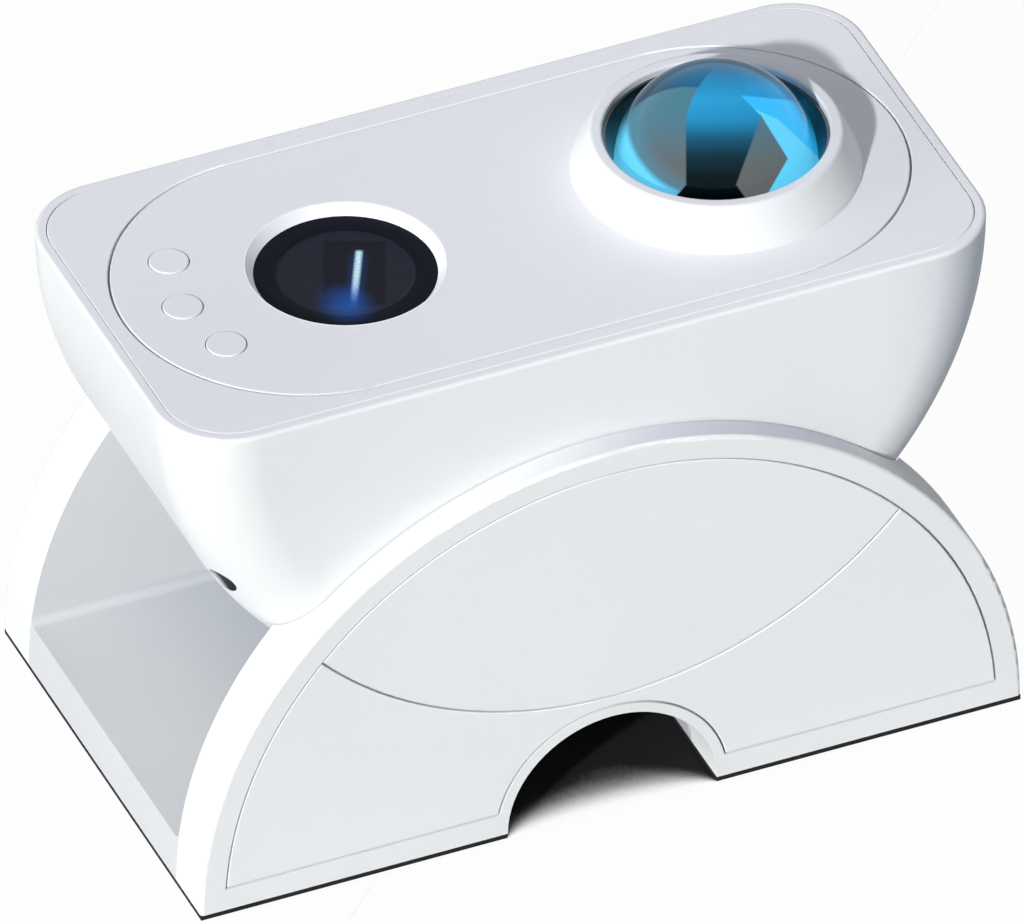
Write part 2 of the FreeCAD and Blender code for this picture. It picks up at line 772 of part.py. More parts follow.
retainer_outer = s.cone_hole_radius - s.seat_gap
retainer_top = s.cone_height - s.retainer_top_drop
retainer = turned("retainer", [
    (s.dome_radius + s.retainer_gap, flange_top),
    (retainer_outer, flange_top),
    (retainer_outer, retainer_top),
    (retainer_outer - s.retainer_lip, retainer_top),
    (s.dome_radius + s.retainer_gap, s.dome_rise + s.retainer_lip),
], dome_x, 0, deck_top)
keep(retainer, "dome_retaining_ring")


def domeLens():
    middle = deck_top + s.dome_rise
    low = deck_top + flange_low
    outer = ball("dome_outer", s.dome_radius, dome_x, 0, middle)
    above = slab("dome_above", 2 * s.dome_radius, 2 * s.dome_radius, s.dome_radius, dome_x, 0, middle)
    cap = overlap("dome_cap", [outer, above])
    skirt = rod("dome_skirt", s.dome_radius, middle - low, dome_x, 0, low)
    flange = rod("dome_flange", s.dome_radius + s.dome_flange, s.dome_flange_thick, dome_x, 0, low)
    hollow = ball("dome_hollow", s.dome_radius - s.dome_wall, dome_x, 0, middle)
    throat = rod("dome_throat", s.dome_radius - s.dome_wall, middle - low + s.over, dome_x, 0, low - s.over)
    return cut("dome", join("dome_solid", [cap, skirt, flange]), [hollow, throat])


keep(domeLens(), "dome_lens")
keep(ring("seat_ring", s.dome_radius - s.dome_wall, s.cone_hole_radius - s.seat_gap, s.seat_ring_thick,
          dome_x, 0, deck_top + seat_low), "dome_seat_ring")

# Push buttons, their board and switches
for (x, y), label in zip(button_spots, ("rear", "middle", "front")):
    low = 0 - s.skin_thick
    edge = s.button_radius + s.button_flange
    tip = low - s.button_flange_thick - s.button_stem_length
    cap = turned("button_" + label, [
        (0, tip),
        (s.button_stem, tip),
        (s.button_stem, low - s.button_flange_thick),
        (edge, low - s.button_flange_thick),
        (edge, low),
        (s.button_radius, low),
        (s.button_radius, s.button_proud),
        (0, s.button_proud),
    ], x, y, deck_top)
    softened(cap, s.button_round, lambda e: circleAt(e, s.button_radius, s.button_proud))
    keep(cap, label + "_button")

plate = slab("switch_board_plate", s.switch_board_wide, s.switch_board_long, s.board_thick,
             switch_board_x, 0, switch_board_top - s.board_thick)
holes = [rod("switch_board_hole_%d" % i, s.small_screw_shaft + s.thread_gap, s.board_thick + 2 * s.over,
             x, y, switch_board_top - s.board_thick - s.over) for i, (x, y) in enumerate(switch_posts)]
keep(cut("switch_board", plate, holes), "button_board")
switches = []
for i, (x, y) in enumerate(button_spots):
    can = slab("switch_can_%d" % i, s.switch_side, s.switch_side, s.switch_tall, x, y, switch_board_top)
    well = rod("switch_well_%d" % i, s.button_stem + s.thread_gap * 2, s.switch_tall, x, y,
               switch_board_top + s.board_thick / 4)
    switches.append(cut("switch_%d" % i, can, [well]))
keep(group("switches", switches), "tact_switches")
keep(group("switch_board_screws", [
    smallScrew("switch_board_screw_%d" % i, x, y, switch_board_top - s.board_thick, HEAD_DOWN)
    for i, (x, y) in enumerate(switch_posts)]), "button_board_screws")

# Chassis: the plate that carries both turning wheels, the motors and the light sources
laser_pitch = s.gear_module * s.laser_teeth / 2
ripple_pitch = s.gear_module * s.ripple_teeth / 2
pinion_pitch = s.gear_module * s.pinion_teeth / 2
laser_motor_x = 0 - laser_x + laser_pitch + pinion_pitch
ripple_motor_x = dome_x - ripple_pitch - pinion_pitch
laser_spigot = laser_pitch - s.spigot_step
ripple_spigot = ripple_pitch - s.spigot_step
laser_posts = [(0 - laser_x, way * s.laser_post_y) for way in (-1, 1)]
led_posts = [(dome_x, way * s.led_post_y) for way in (-1, 1)]
motor_spots = [(laser_motor_x, "laser"), (ripple_motor_x, "ripple")]
ear_spots = [(x, way * s.motor_ear) for x, label in motor_spots for way in (-1, 1)]


def chassis():
    plate = layer("chassis_plate", s.shell_wall + s.chassis_gap, chassis_under, s.chassis_thick)
    posts = []
    for i, (x, y) in enumerate(laser_posts):
        posts.append(rod("laser_post_%d" % i, s.block_post_radius, s.laser_post_drop + s.chassis_thick / 2,
                         x, y, chassis_under - s.laser_post_drop))
    for i, (x, y) in enumerate(led_posts):
        posts.append(rod("led_post_%d" % i, s.block_post_radius, s.led_post_drop + s.chassis_thick / 2,
                         x, y, chassis_under - s.led_post_drop))
    deep = s.chassis_thick + 2 * s.over
    low = chassis_under - s.over
    tools = [
        rod("laser_bore", laser_spigot + s.run_gap, deep, 0 - laser_x, 0, low),
        rod("ripple_bore", ripple_spigot + s.run_gap, deep, dome_x, 0, low),
    ]
    for x, label in motor_spots:
        tools.append(rod(label + "_nose_hole", s.motor_nose + s.thread_gap, deep, x, 0, low))
    wide = s.screw_shaft + s.thread_gap
    for i, (x, y) in enumerate(deck_posts + shell_posts):
        tools.append(rod("chassis_eye_%d" % i, wide, deep, x, y, low))
    thin = s.small_screw_shaft + s.thread_gap
    for i, (x, y) in enumerate(ear_spots):
        tools.append(rod("ear_pilot_%d" % i, thin, s.small_screw_length, x, y, low))
    for i, (x, y) in enumerate(laser_posts):
        tools.append(rod("laser_pilot_%d" % i, thin, s.small_screw_length,
                         x, y, chassis_under - s.laser_post_drop))
    for i, (x, y) in enumerate(led_posts):
        tools.append(rod("led_pilot_%d" % i, thin, s.small_screw_length,
                         x, y, chassis_under - s.led_post_drop))
    return cut("chassis_bored", join("chassis_solid", [plate] + posts), tools)


keep(chassis(), "optics_chassis")
keep(group("deck_screws", [bigScrew("deck_screw_%d" % i, x, y, chassis_under, HEAD_DOWN)
                           for i, (x, y) in enumerate(deck_posts)]), "deck_screws")
keep(group("shell_screws", [bigScrew("shell_screw_%d" % i, x, y, chassis_under - s.shell_post_cap, HEAD_DOWN)
                            for i, (x, y) in enumerate(shell_posts)]), "shell_screws")


# Gears: involute teeth with a 25 degree pressure angle and a short addendum
PRESSURE_SHARES = {"angle_deg": 25.0, "tip_share": 0.8, "root_share": 1.05}
FLANK_STEPS = 5


def gearFace(teeth, first):
    # outline of a spur gear whose first tooth points along the angle first, in radians
    count = int(round(float(teeth)))
    module = float(s.gear_module)
    pitch = module * count / 2
    tip = pitch + module * PRESSURE_SHARES["tip_share"]
    foot_radius = pitch - module * PRESSURE_SHARES["root_share"]
    angle = math.radians(PRESSURE_SHARES["angle_deg"])
    base = pitch * math.cos(angle)
    half = math.pi / (2 * count) - float(s.gear_play) / (2 * pitch)
    start = max(base, foot_radius)

    def rollOff(radius):
        lean = math.acos(min(1.0, base / radius))
        return math.tan(lean) - lean

    flank = []
    for step in range(FLANK_STEPS):
        radius = start + (tip - start) * step / (FLANK_STEPS - 1)
        flank.append((radius, half + rollOff(pitch) - rollOff(radius)))
    if foot_radius < start:
        flank.insert(0, (foot_radius, flank[0][1]))
    points = []
    for tooth in range(count):
        middle = first + 2 * math.pi * tooth / count
        side = [(radius, middle - away) for radius, away in flank]
        side += [(radius, middle + away) for radius, away in reversed(flank)]
        points += [Vector(r * math.cos(a), r * math.sin(a), 0) for r, a in side]
    return Part.Face(Part.makePolygon(points + points[:1]))


def wheel(label, teeth, spigot, x):
    # ring gear with a spigot that turns in the chassis bore and a seat for its disc
    low = chassis_top + s.float_gap
    reach = s.chassis_thick + 2 * s.float_gap + s.clip_thick + s.float_gap
    bore = float(spigot - s.spigot_wall)
    solid = gearFace(teeth, 0.0 if float(x) < 0 else math.pi).extrude(Vector(0, 0, float(s.gear_thick)))
    solid = solid.fuse(Part.makeCylinder(float(spigot), float(reach), Vector(0, 0, -float(reach))))
    solid = solid.cut(Part.makeCylinder(bore, float(reach + s.gear_thick + 2 * s.over),
                                        Vector(0, 0, -float(reach + s.over))))
    seat = Part.makeCylinder(float(spigot), float(s.disc_thick + s.over),
                             Vector(0, 0, float(s.gear_thick - s.disc_thick)))
    thing = doc.addObject("Part::Feature", label)
    thing.Shape = solid.cut(seat).removeSplitter()
    place(thing, x, 0, low)
    return thing


def pinion(label, x, toward):
    # the tooth space that meets the wheel's tooth points along toward
    count = int(round(float(s.pinion_teeth)))
    solid = gearFace(s.pinion_teeth, toward + math.pi / count).extrude(Vector(0, 0, float(s.gear_thick)))
    solid = solid.cut(Part.makeCylinder(float(s.shaft_radius), float(s.gear_thick)))
    thing = doc.addObject("Part::Feature", label)
    thing.Shape = solid
    place(thing, x, 0, chassis_top + s.float_gap)
    return thing


for label, teeth, spigot, x, disc in (
        ("laser", s.laser_teeth, laser_spigot, 0 - laser_x, "grating_film"),
        ("ripple", s.ripple_teeth, ripple_spigot, dome_x, "ripple_disc")):
    keep(wheel(label + "_wheel", teeth, spigot, x), label + "_wheel")
    keep(turned(disc, [
        (0, 0),
        (spigot - s.seat_gap, 0),
        (spigot - s.seat_gap, s.disc_thick),
        (0, s.disc_thick),
    ], x, 0, chassis_top + s.float_gap + s.gear_thick - s.disc_thick), disc)
    keep(ring(label + "_clip", spigot, spigot + s.clip_wide, s.clip_thick,
              x, 0, chassis_under - s.float_gap - s.clip_thick), label + "_wheel_clip")

# Geared motors hung under the chassis, with their shafts and pinions
for (x, label), toward in zip(motor_spots, (math.pi, 0.0)):
    can = rod(label + "_can", s.motor_radius, s.motor_length, x, 0, chassis_under - s.motor_length)
    nose = rod(label + "_nose", s.motor_nose, s.chassis_thick - s.float_gap, x, 0, chassis_under)
    ear = slab(label + "_ear", 2 * s.motor_nose, 2 * (s.motor_ear + s.motor_nose), s.motor_ear_thick,
               x, 0, chassis_under - s.motor_ear_thick)
    shaft_low = chassis_under - s.shaft_sunk
    shaft_top = chassis_top + s.float_gap + s.gear_thick + s.float_gap
    tools = [rod(label + "_well", s.shaft_radius + s.run_gap, s.shaft_sunk + s.chassis_thick + s.over,
                 x, 0, shaft_low - s.float_gap)]
    for i, way in enumerate((-1, 1)):
        tools.append(rod("%s_ear_hole_%d" % (label, i), s.small_screw_shaft + s.thread_gap,
                         s.motor_ear_thick + 2 * s.over, x, way * s.motor_ear,
                         chassis_under - s.motor_ear_thick - s.over))
    solid = join(label + "_motor_solid", [can, nose, ear])
    keep(cut(label + "_motor_bored", solid, tools), label + "_motor")
    keep(rod(label + "_shaft", s.shaft_radius, shaft_top - shaft_low, x, 0, shaft_low),
         label + "_motor_shaft")
    keep(pinion(label + "_pinion", x, toward), label + "_pinion")
ear_under = chassis_under - s.motor_ear_thick
keep(group("motor_screws", [smallScrew("motor_screw_%d" % i, x, y, ear_under, HEAD_DOWN)
                            for i, (x, y) in enumerate(ear_spots)]), "motor_screws")


# Laser block and barrel
def postedHoles(name, spots, low, tall):
    return [rod("%s_hole_%d" % (name, i), s.small_screw_shaft + s.thread_gap, tall + 2 * s.over,
                x, y, low - s.over) for i, (x, y) in enumerate(spots)]


block_top = chassis_under - s.laser_post_drop
block_low = block_top - s.laser_block_tall
body = slab("laser_block_raw", s.laser_block_wide, 2 * (s.laser_post_y + s.block_post_radius),
            s.laser_block_tall, 0 - laser_x, 0, block_low)
bore = rod("laser_block_bore", s.barrel_radius + s.seat_gap, s.laser_block_tall + 2 * s.over,
           0 - laser_x, 0, block_low - s.over)
sinks = [rod("laser_block_sink_%d" % i, s.small_screw_head + s.cover_gap,
             s.laser_block_tall - s.board_thick + s.over, x, y, block_low - s.over)
         for i, (x, y) in enumerate(laser_posts)]
keep(cut("laser_block", body, [bore] + sinks + postedHoles("laser_block", laser_posts, block_low,
                                                           s.laser_block_tall)), "laser_block")
barrel_low = block_top + s.barrel_proud - s.barrel_length
keep(turned("laser_barrel", [
    (0, 0),
    (s.barrel_radius, 0),
    (s.barrel_radius, s.barrel_length),
    (s.barrel_radius / 2, s.barrel_length),
    (s.barrel_radius / 3, s.barrel_length - s.barrel_proud / 2),
    (0, s.barrel_length - s.barrel_proud / 2),
], 0 - laser_x, 0, barrel_low), "laser_barrel")
keep(group("laser_block_screws", [
    smallScrew("laser_block_screw_%d" % i, x, y, block_top - s.board_thick, HEAD_DOWN)
    for i, (x, y) in enumerate(laser_posts)]), "laser_block_screws")

# Nebula light: finned heat sink, round board, four LEDs, reflector and condenser lens
sink_top = chassis_under - s.led_post_drop
sink_low = sink_top - s.sink_base
fin_count = 6
base = slab("sink_plate", s.sink_wide, 2 * (s.led_post_y + s.block_post_radius), s.sink_base,
            dome_x, 0, sink_low)
fins = []
for i in range(fin_count):
    spot = dome_x - s.sink_wide / 2 + s.sink_fin / 2 + (s.sink_wide - s.sink_fin) * i / (fin_count - 1)
    fins.append(slab("sink_fin_%d" % i, s.sink_fin, 2 * s.led_board_radius, s.sink_tall, spot, 0,
                     sink_low - s.sink_tall))
keep(cut("sink", join("sink_solid", [base] + fins), postedHoles("sink", led_posts, sink_low, s.sink_base)),
     "led_heat_sink")
keep(group("sink_screws", [smallScrew("sink_screw_%d" % i, x, y, sink_low, HEAD_DOWN)
                           for i, (x, y) in enumerate(led_posts)]), "heat_sink_screws")
keep(rod("led_board", s.led_board_radius, s.board_thick, dome_x, 0, sink_top), "led_board")
led_low = sink_top + s.board_thick
keep(group("leds", [slab("led_%d%d" % (a, b), s.led_side, s.led_side, s.led_tall,
                         dome_x + (2 * a - 1) * s.led_spread, (2 * b - 1) * s.led_spread, led_low)
                    for a in (0, 1) for b in (0, 1)]), "led_chips")
slope = s.reflector_wall
keep(turned("reflector", [
    (s.reflector_low, 0),
    (s.reflector_low + slope, 0),
    (s.reflector_top + slope, s.reflector_tall),
    (s.reflector_top - s.lens_rim, s.reflector_tall),
], dome_x, 0, led_low), "led_reflector")
lens_radius = s.reflector_top
keep(turned("condenser", [
    (0, 0),
    (lens_radius, 0),
    (lens_radius, s.lens_rim),
    (lens_radius * 3 / 4, s.lens_rim + (s.lens_thick - s.lens_rim) / 2),
    (lens_radius / 3, s.lens_thick - (s.lens_thick - s.lens_rim) / 8),
    (0, s.lens_thick),
], dome_x, 0, led_low + s.reflector_tall), "condenser_lens")

# Main board on its four posts
board = slab("main_board_raw", s.board_long, s.board_wide, s.board_thick, 0, 0, s.board_height)
keep(cut("main_board", board, postedHoles("main_board", board_posts, s.board_height, s.board_thick)),
     "main_board")
top = s.board_height + s.board_thick
chips = [slab("chip_%d" % i, s.chip_side, s.chip_side, s.chip_tall, (i - 1) * s.chip_side * 2, 0, top)
         for i in range(3)]
cans = [rod("capacitor_%d" % i, s.capacitor_radius, s.capacitor_tall, (2 * i - 1) * s.chip_side,
            s.chip_side * 3 / 2, top) for i in range(2)]
headers = [slab("header_%d" % i, s.plug_header_long, s.plug_header_wide, s.plug_header_tall,
                (i - 1) * s.plug_header_long * 3 / 2, 0 - s.chip_side * 3 / 2, top) for i in range(3)]
keep(group("board_chips", chips), "board_chips")
keep(group("board_capacitors", cans), "board_capacitors")
keep(group("board_headers", headers), "board_plug_headers")
keep(group("board_screws", [smallScrew("board_screw_%d" % i, x, y, top)
                            for i, (x, y) in enumerate(board_posts)]), "main_board_screws")

# Power socket behind its boss in the left end of the shell
x, y, z = onJack(s.jack_boss_reach + s.jack_length)
jack = doc.addObject("Part::Box", "jack_body")
bind(jack, "Length", s.jack_side)
bind(jack, "Width", s.jack_side)
bind(jack, "Height", s.jack_length)
# the box's corner is set back from the axis by half its side both ways
back_x = 0 - cosine(s.jack_angle) * s.jack_side / 2
back_z = sine(s.jack_angle) * s.jack_side / 2
place(jack, x - back_x, y - s.jack_side / 2, z - back_z, jack_turn)
well = jackRod("jack_well", s.jack_well, s.jack_bore_depth + s.over, s.jack_boss_reach + s.jack_bore_depth)
pin = jackRod("jack_pin", s.jack_pin, s.jack_bore_depth - s.float_gap, s.jack_boss_reach + s.jack_bore_depth)
keep(join("jack", [cut("jack_open", jack, [well]), pin]), "power_socket")

# Check every object, then write each node's solids
doc.recompute()
broken = [thing.Label for thing in doc.Objects if "Invalid" in thing.State or "Error" in thing.State]
if broken:
    raise RuntimeError("failed objects: " + ", ".join(broken))
for node in nodes:
    if node.Shape.isNull() or not node.Shape.isValid() or not node.Shape.Solids:
        raise RuntimeError("bad shape: " + node.Label)
labels = [node.Label for node in nodes]
if len(set(labels)) != len(labels) or len(labels) > 60:
    raise RuntimeError("node names repeat or are too many")
os.makedirs("parts", exist_ok=True)
for node in nodes:
    node.Shape.exportStep(os.path.join("parts", node.Label + ".step"))
    print("%-24s solids %d  volume %9.1f" % (node.Label, len(node.Shape.Solids), node.Shape.Volume))
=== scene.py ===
import json
import math
import bpy
import numpy as np
from mathutils import Matrix, Vector


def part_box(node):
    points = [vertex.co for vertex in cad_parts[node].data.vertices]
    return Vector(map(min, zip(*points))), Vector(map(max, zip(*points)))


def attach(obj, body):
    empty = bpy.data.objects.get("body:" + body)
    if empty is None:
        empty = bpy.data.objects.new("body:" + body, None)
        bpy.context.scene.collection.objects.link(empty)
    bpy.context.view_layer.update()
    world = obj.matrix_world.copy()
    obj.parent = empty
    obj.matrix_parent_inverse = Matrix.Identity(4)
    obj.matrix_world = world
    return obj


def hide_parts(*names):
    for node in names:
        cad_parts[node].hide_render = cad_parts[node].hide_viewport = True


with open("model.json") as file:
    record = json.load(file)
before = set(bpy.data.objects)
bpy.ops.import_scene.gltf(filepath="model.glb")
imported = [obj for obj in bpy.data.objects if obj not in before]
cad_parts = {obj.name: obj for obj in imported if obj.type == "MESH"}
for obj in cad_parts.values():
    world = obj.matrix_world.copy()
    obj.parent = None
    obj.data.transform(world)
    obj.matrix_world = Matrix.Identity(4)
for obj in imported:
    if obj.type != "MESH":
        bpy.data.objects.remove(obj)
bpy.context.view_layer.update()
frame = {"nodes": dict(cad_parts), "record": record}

nodes = frame["nodes"]
mm = 0.001
print("frame loaded, nodes:", len(nodes))


# Shader maths: a Wire is one output socket, and sums on it add Math nodes
class Wire:
    def __init__(self, tree, socket):
        self.tree = tree
        self.socket = socket

    def sum(self, operation, *values, clamp=False):
        made = self.tree.nodes.new("ShaderNodeMath")
        made.operation = operation
        made.use_clamp = clamp
        for entry, value in zip(made.inputs, values):
            if isinstance(value, Wire):
                self.tree.links.new(value.socket, entry)
            else:
                entry.default_value = value
        return Wire(self.tree, made.outputs[0])

    def __add__(self, other):
        return self.sum("ADD", self, other)

    def __sub__(self, other):
        return self.sum("SUBTRACT", self, other)

    def __mul__(self, other):
        return self.sum("MULTIPLY", self, other)

    def __truediv__(self, other):
        return self.sum("DIVIDE", self, other)

    def __pow__(self, other):
        return self.sum("POWER", self, other)

    def __radd__(self, other):
        return self.sum("ADD", other, self)

    def __rsub__(self, other):
        return self.sum("SUBTRACT", other, self)

    def __rmul__(self, other):
        return self.sum("MULTIPLY", other, self)

    def least(self, other):
        return self.sum("MINIMUM", self, other)

    def most(self, other):
        return self.sum("MAXIMUM", self, other)

    def size(self):
        return self.sum("ABSOLUTE", self)

    def root(self):
        return self.sum("SQRT", self)

    def held(self):
        return self.sum("ADD", self, 0.0, clamp=True)

    def step(self, low, high):
        # 0 below low and 1 above high, smooth between; low may be the larger
        t = ((self - low) / (high - low)).held()
        return t * t * (3.0 - 2.0 * t)


class Finish:
    # one material: its tree, its places and its shader's sockets
    def __init__(self, name, **constants):
        self.made = bpy.data.materials.new(name)
        self.made.use_nodes = True
        self.tree = self.made.node_tree
        self.shader = self.tree.nodes["Principled BSDF"]
        self.end = self.tree.nodes["Material Output"]
        for word, value in constants.items():
            socket = self.shader.inputs[word.replace("_", " ")]
            socket.default_value = (*value, 1.0) if isinstance(value, tuple) else value
        self.place = self.node("TexCoord", out="Object")
        parts = self.node("SeparateXYZ", Vector=self.place, whole=True)
        self.x, self.y, self.z = (Wire(self.tree, parts.outputs[i]) for i in range(3))

    def node(self, kind, out=0, settings=None, stops=None, whole=False, **values):
        # any node: settings first, then ramp stops, then values or wires for its sockets
        made = self.tree.nodes.new("ShaderNode" + kind)
        for word, value in (settings or {}).items():
            setattr(made, word, value)
        if stops:
            while len(made.color_ramp.elements) < len(stops):
                made.color_ramp.elements.new(0.5)
            for element, (where, colour) in zip(made.color_ramp.elements, stops):
                element.position = where
                element.color = (*colour, 1.0)
        for word, value in values.items():
            entry = made.inputs[int(word[1:]) if word[1:].isdigit() else word.replace("_", " ")]
            if isinstance(value, Wire):
                self.tree.links.new(value.socket, entry)
            else:
                colour = len(np.shape(value)) and len(entry.default_value) == 4
                entry.default_value = (*value, 1.0) if colour else value
        return made if whole else Wire(self.tree, made.outputs[out])

    def noise(self, scale, detail=2.0, rough=0.5, place=None):
        return self.node("TexNoise", Vector=place or self.place, Scale=scale, Detail=detail,
                         Roughness=rough)

    def blend(self, mask, first, second):
        # colour first where mask is 0, second where it is 1
        return self.node("Mix", out=2, settings={"data_type": "RGBA"}, i0=mask, i6=first, i7=second)

    def feed(self, **wires):
        for word, wire in wires.items():
            self.tree.links.new(wire.socket, self.shader.inputs[word.replace("_", " ")])
        return self

    def bump(self, height, distance, strength=1.0):
        # distance is the real height of the relief in metres
        return self.feed(Normal=self.node("Bump", Strength=strength, Distance=distance, Height=height))


def tone(r, g, b):
    # a screen colour from 0 to 255 as the shader's linear colour
    level = np.array([r, g, b]) / 255.0
    linear = np.where(level < 0.04045, level / 12.92, ((level + 0.055) / 1.055) ** 2.4)
    return tuple(float(v) for v in linear)


print("shader tools ready")

# Finishes
plasticLook = {"light": (235, 239, 240), "shade": (231, 235, 236), "rough": 0.42,
               "relief": 0.000008, "grain": 2600.0}
deckLook = {"light": (238, 240, 246), "shade": (233, 235, 242), "rough": 0.52,
            "relief": 0.000008, "grain": 3400.0, "low": 0.1008, "high": 0.1012}
# painted shade: greyer tones for the channel between the cheeks, darker still on its floor under the body
channelShadeLook = {"light": (212, 215, 218), "shade": (206, 209, 213), "deep": (186, 191, 198),
               "half": 0.03395, "top": 0.0795, "deepFrom": 0.072, "deepTo": 0.035, "floor": 0.011}
# painted shade: a cooler tone on the crown of the rim
rimShadeLook = {"axis": 0.001, "radius": 0.0788, "half": 0.0445, "startFrom": -0.02, "startTo": 0.02,
           "endFrom": 0.056, "endTo": 0.04, "crownShade": (213, 215, 226)}
# painted shade: the socket's hole turns dark with depth
socketShadeLook = {"turn": 61.5, "across": -0.031, "axis": 0.1013, "reach": 0.08, "radius": 0.0029,
              "mouth": 0.0001, "depth": 0.0013, "dark": (52, 52, 56)}
# painted shade: the body's right end is coloured darker and cooler
endShadeLook = {"from": 0.052, "to": 0.078, "top": 0.1012, "shade": (206, 213, 222)}
coneLook = {"low": 0.1082, "high": 0.1092}
# painted light: the laser bezel glows faintly
bezelGlowLook = {"glow": (0.9, 0.92, 1.0, 1.0), "strength": 0.14}


def mouldedPlastic(name, look):
    # pale moulded plastic: slow drift of colour and gloss under a fine spark-eroded grain
    skin = Finish(name, Roughness=look["rough"], Specular_IOR_Level=0.4)
    drift = skin.noise(14.0, detail=3.0)
    grain = skin.noise(look["grain"], detail=1.0)
    speck = skin.noise(420.0, detail=2.0).step(0.56, 0.72)
    mask = (drift.step(0.35, 0.7) * 0.75 + speck * 0.25).held()
    skin.feed(Base_Color=skin.blend(mask, tone(*look["light"]), tone(*look["shade"])),
              Roughness=look["rough"] - 0.05 + drift * 0.08 + speck * 0.03)
    return skin.bump(grain, look["relief"])


def plasticWithToneOrPaintedShade(name, look, other, mask):
    # the shell plastic, with a second colour where mask is 1, either the deck's tone or a painted shade; mask
    # is made from the material's places
    skin = Finish(name, Roughness=look["rough"], Specular_IOR_Level=0.4)
    drift = skin.noise(14.0, detail=3.0)
    grain = skin.noise(look["grain"], detail=1.0)
    patches = drift.step(0.35, 0.7)
    part = mask(skin)
    outer = skin.blend(patches, tone(*look["light"]), tone(*look["shade"]))
    inner = skin.blend(patches, tone(*other["light"]), tone(*other["shade"]))
    colour = skin.blend(part, outer, inner)
    skin.colour = colour
    skin.feed(Base_Color=colour, Roughness=look["rough"] - 0.05 + drift * 0.08 + part * 0.1)
    return skin.bump(grain, look["relief"])


def channelShadeMask(skin):
    # the walls and the floor between the cheeks, where the shade is painted
    look = channelShadeLook
    between = skin.y.size().step(look["half"] + 0.0001, look["half"])
    return between * skin.z.step(look["top"] + 0.001, look["top"])


def cradlePlasticPaintedShade(name):
    # painted shade: the channel is coloured greyer, darker still on its floor under the body, and the rim's
    # crown takes a cooler painted shade
    skin = plasticWithToneOrPaintedShade(name, plasticLook, channelShadeLook, channelShadeMask)
    look = rimShadeLook
    high = skin.z - look["axis"]
    crownShadeMask = (skin.x * skin.x + high * high).root().step(look["radius"], look["radius"] + 0.0004)
    crownShadeMask = crownShadeMask * skin.y.size().step(look["half"] + 0.0004, look["half"])
    crownShadeMask = crownShadeMask * skin.x.step(look["startFrom"], look["startTo"])
    crownShadeMask = crownShadeMask * skin.x.step(look["endFrom"], look["endTo"])
    inner = channelShadeLook
    # painted shade: darker still on the channel's floor under the body
    deep = channelShadeMask(skin) * skin.x.size().step(inner["deepFrom"], inner["deepTo"])
    deep = deep * skin.z.step(inner["floor"] + 0.002, inner["floor"])
    colour = skin.blend(deep, skin.colour, tone(*inner["deep"]))
    return skin.feed(Base_Color=skin.blend(crownShadeMask, colour, tone(*look["crownShade"])))


def shellPlastic(name):
    # the border takes the deck's tone; painted shade darkens the body's right end, and the socket's hole more
    # the deeper it goes
    skin = plasticWithToneOrPaintedShade(name, plasticLook, deckLook,
                          lambda skin: skin.z.step(deckLook["low"], deckLook["high"]))
    look = socketShadeLook
    a = math.radians(look["turn"])
    high = skin.z - look["axis"]
    off = skin.x * -math.cos(a) + high * math.sin(a)
    side = skin.y - look["across"]
    depth = look["reach"] - (skin.x * -math.sin(a) - high * math.cos(a))
    holeShade = (off * off + side * side).root().step(look["radius"] + 0.00005, look["radius"])
    holeShade = holeShade * depth.step(look["mouth"], look["depth"])
    # painted shade on the right end of the body
    end = skin.x.step(endShadeLook["from"], endShadeLook["to"]) * skin.z.step(endShadeLook["top"], endShadeLook["top"] - 0.0012)
    colour = skin.blend(end, skin.colour, tone(*endShadeLook["shade"]))
    return skin.feed(Base_Color=skin.blend(holeShade, colour, tone(*look["dark"])))


def plain(name, colour, rough, metal=0.0, grain=900.0, relief=0.00001, spread=0.12, **more):
    # small inner parts: a base colour that varies by spread, with a fine relief
    skin = Finish(name, Metallic=metal, **more)
    drift = skin.noise(grain * 0.08, detail=3.0)
    fine = skin.noise(grain, detail=2.0)
    dark = tuple(v * (1.0 - spread) for v in tone(*colour))
    skin.feed(Base_Color=skin.blend(drift.step(0.3, 0.7), tone(*colour), dark),
              Roughness=(rough - 0.06 + fine * 0.12).held())
    return skin.bump(fine, relief)


def brushed(name, colour, rough, way=2, metal=1.0):
    # turned or drawn metal: fine lines that run round or along the piece
    skin = Finish(name, Metallic=metal)
    stretch = [2600.0, 2600.0, 2600.0]
    stretch[way] = 120.0
    lines = skin.noise(1.0, detail=2.0, place=skin.node("Mapping", Vector=skin.place, Scale=tuple(stretch)))
    dark = tuple(v * 0.7 for v in tone(*colour))
    skin.feed(Base_Color=skin.blend(lines.step(0.35, 0.75), tone(*colour), dark),
              Roughness=(rough - 0.08 + lines * 0.18).held())
    return skin.bump(lines, 0.000006)


def circuitBoard(name):
    # green solder mask with straight copper tracks and rows of tinned pads
    skin = Finish(name, Coat_Roughness=0.2)
    trackX = skin.node("TexWave", out=1, settings={"bands_direction": "X"}, Vector=skin.place,
                       Scale=170.0, Distortion=0.0).step(0.72, 0.8)
    region = skin.noise(90.0, detail=0.0).step(0.49, 0.5)
    trackY = skin.node("TexWave", out=1, settings={"bands_direction": "Y"}, Vector=skin.place,
                       Scale=150.0, Distortion=0.0).step(0.72, 0.8)
    track = (trackX * region + trackY * (1.0 - region)).held()
    pads = skin.node("TexVoronoi", out=0, settings={"distance": "CHEBYCHEV"}, Vector=skin.place,
                     Scale=260.0, Randomness=0.35).step(0.22, 0.16)
    scatter = skin.noise(55.0, detail=0.0).step(0.6, 0.62)
    pads = pads * scatter
    green = skin.blend(track, tone(14, 84, 48), tone(26, 112, 66))
    skin.feed(Base_Color=skin.blend(pads, green, tone(206, 208, 205)), Metallic=pads * 0.9,
              Roughness=0.42 - pads * 0.15)
    return skin.bump(track + pads, 0.00003)


